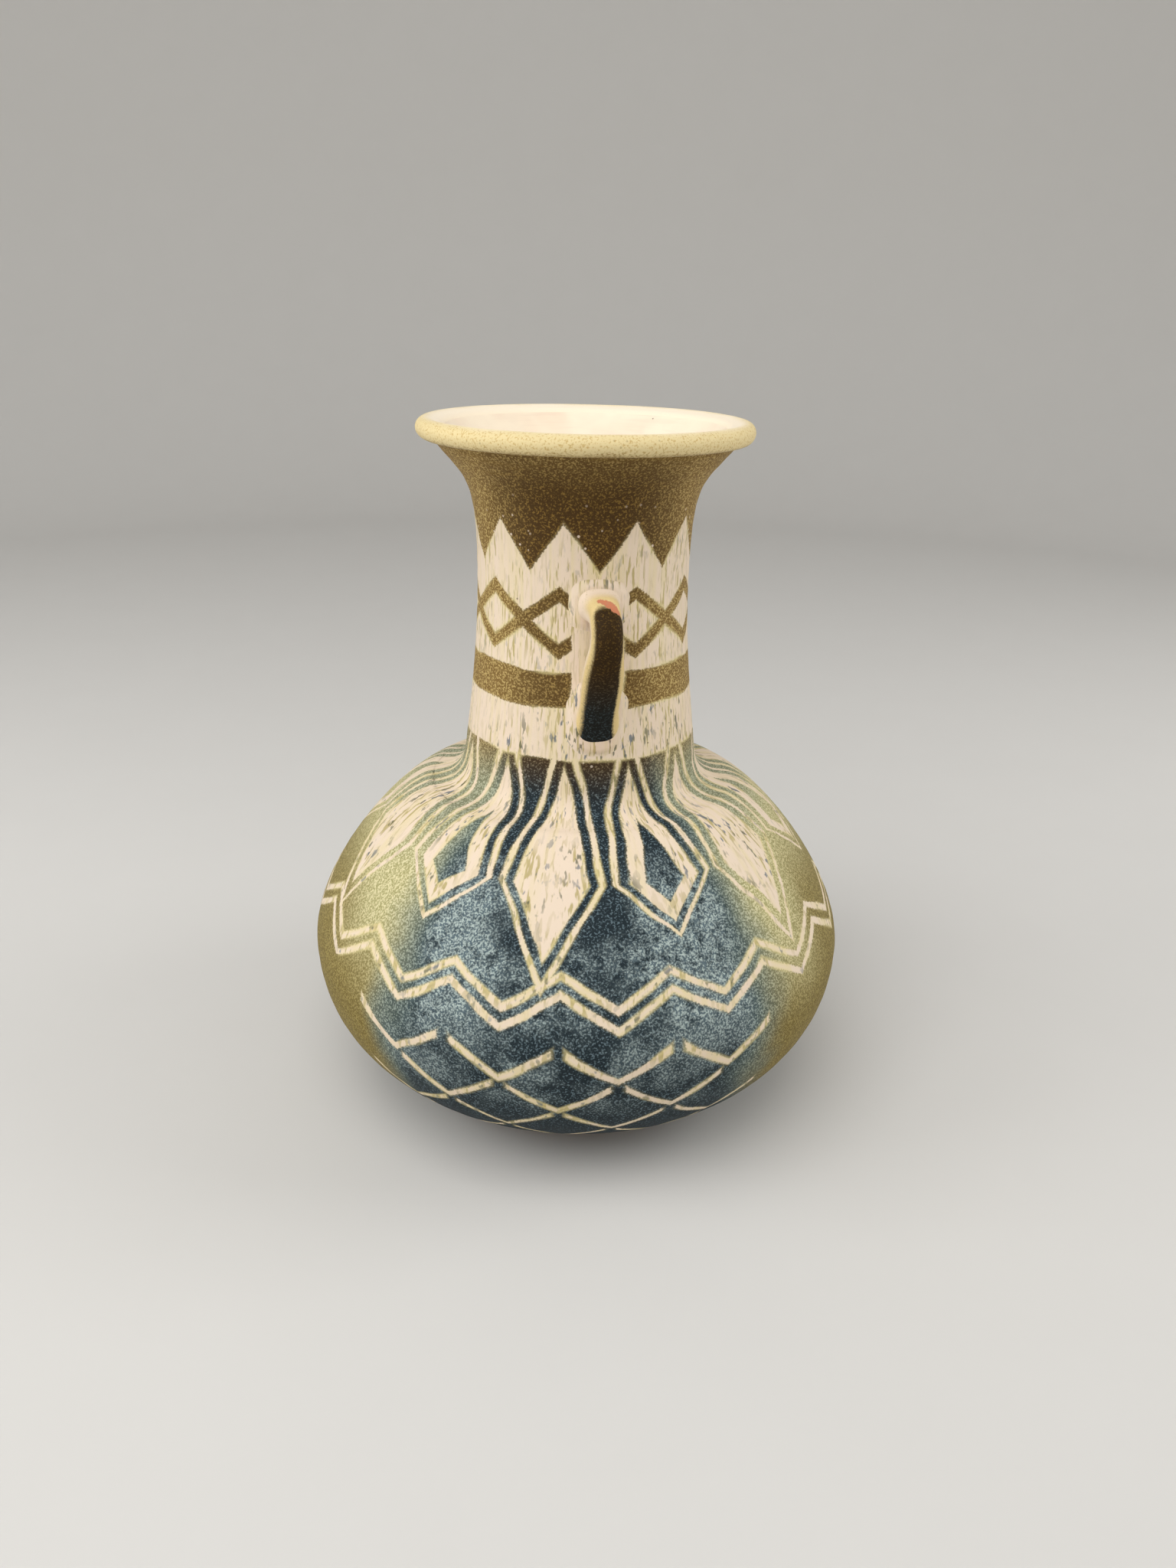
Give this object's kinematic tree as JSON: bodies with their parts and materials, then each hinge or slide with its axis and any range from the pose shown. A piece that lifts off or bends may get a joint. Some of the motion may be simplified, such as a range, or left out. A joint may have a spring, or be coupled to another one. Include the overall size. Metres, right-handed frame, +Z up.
{
  "type": "ceramic jug",
  "caption": "Stoneware jug with a wide round belly on a foot ring, tall waisted neck, flared mouth with a rolled lip, and a small strap handle on the neck.",
  "frame": {"origin": "centre of the foot ring's standing face, on the surface that the jug stands on", "axes": "+Z up along the jug's axis, handle towards -Y"},
  "size_m": [0.16, 0.16, 0.2],
  "materials": {
    "foot_ring": "bare fired clay, wiped, matt",
    "belly": "matt sprayed glaze, slate blue running to olive, finely speckled",
    "neck_joint": "matt sprayed glaze, slate blue and grey-olive",
    "neck": "matt sprayed glaze, olive brown with cream brushed areas",
    "rim_bead": "matt ochre-cream glaze, worn brown below",
    "inner_glaze": "satin pale cream glaze with a few pinholes",
    "handle_strap": "matt dark brown to blue-black outside, cream flanks, chipped at its shoulder",
    "upper_handle_joint": "cream slip, brushed",
    "lower_handle_joint": "cream-pink slip, brushed"
  },
  "bodies": {
    "root": {"foot_ring": "foot_ring", "belly": "belly", "neck_joint": "neck_joint", "neck": "neck", "rim_bead": "rim_bead", "inner_glaze": "inner_glaze", "handle_strap": "handle_strap", "upper_handle_joint": "upper_handle_joint", "lower_handle_joint": "lower_handle_joint"}
  },
  "joints": []
}
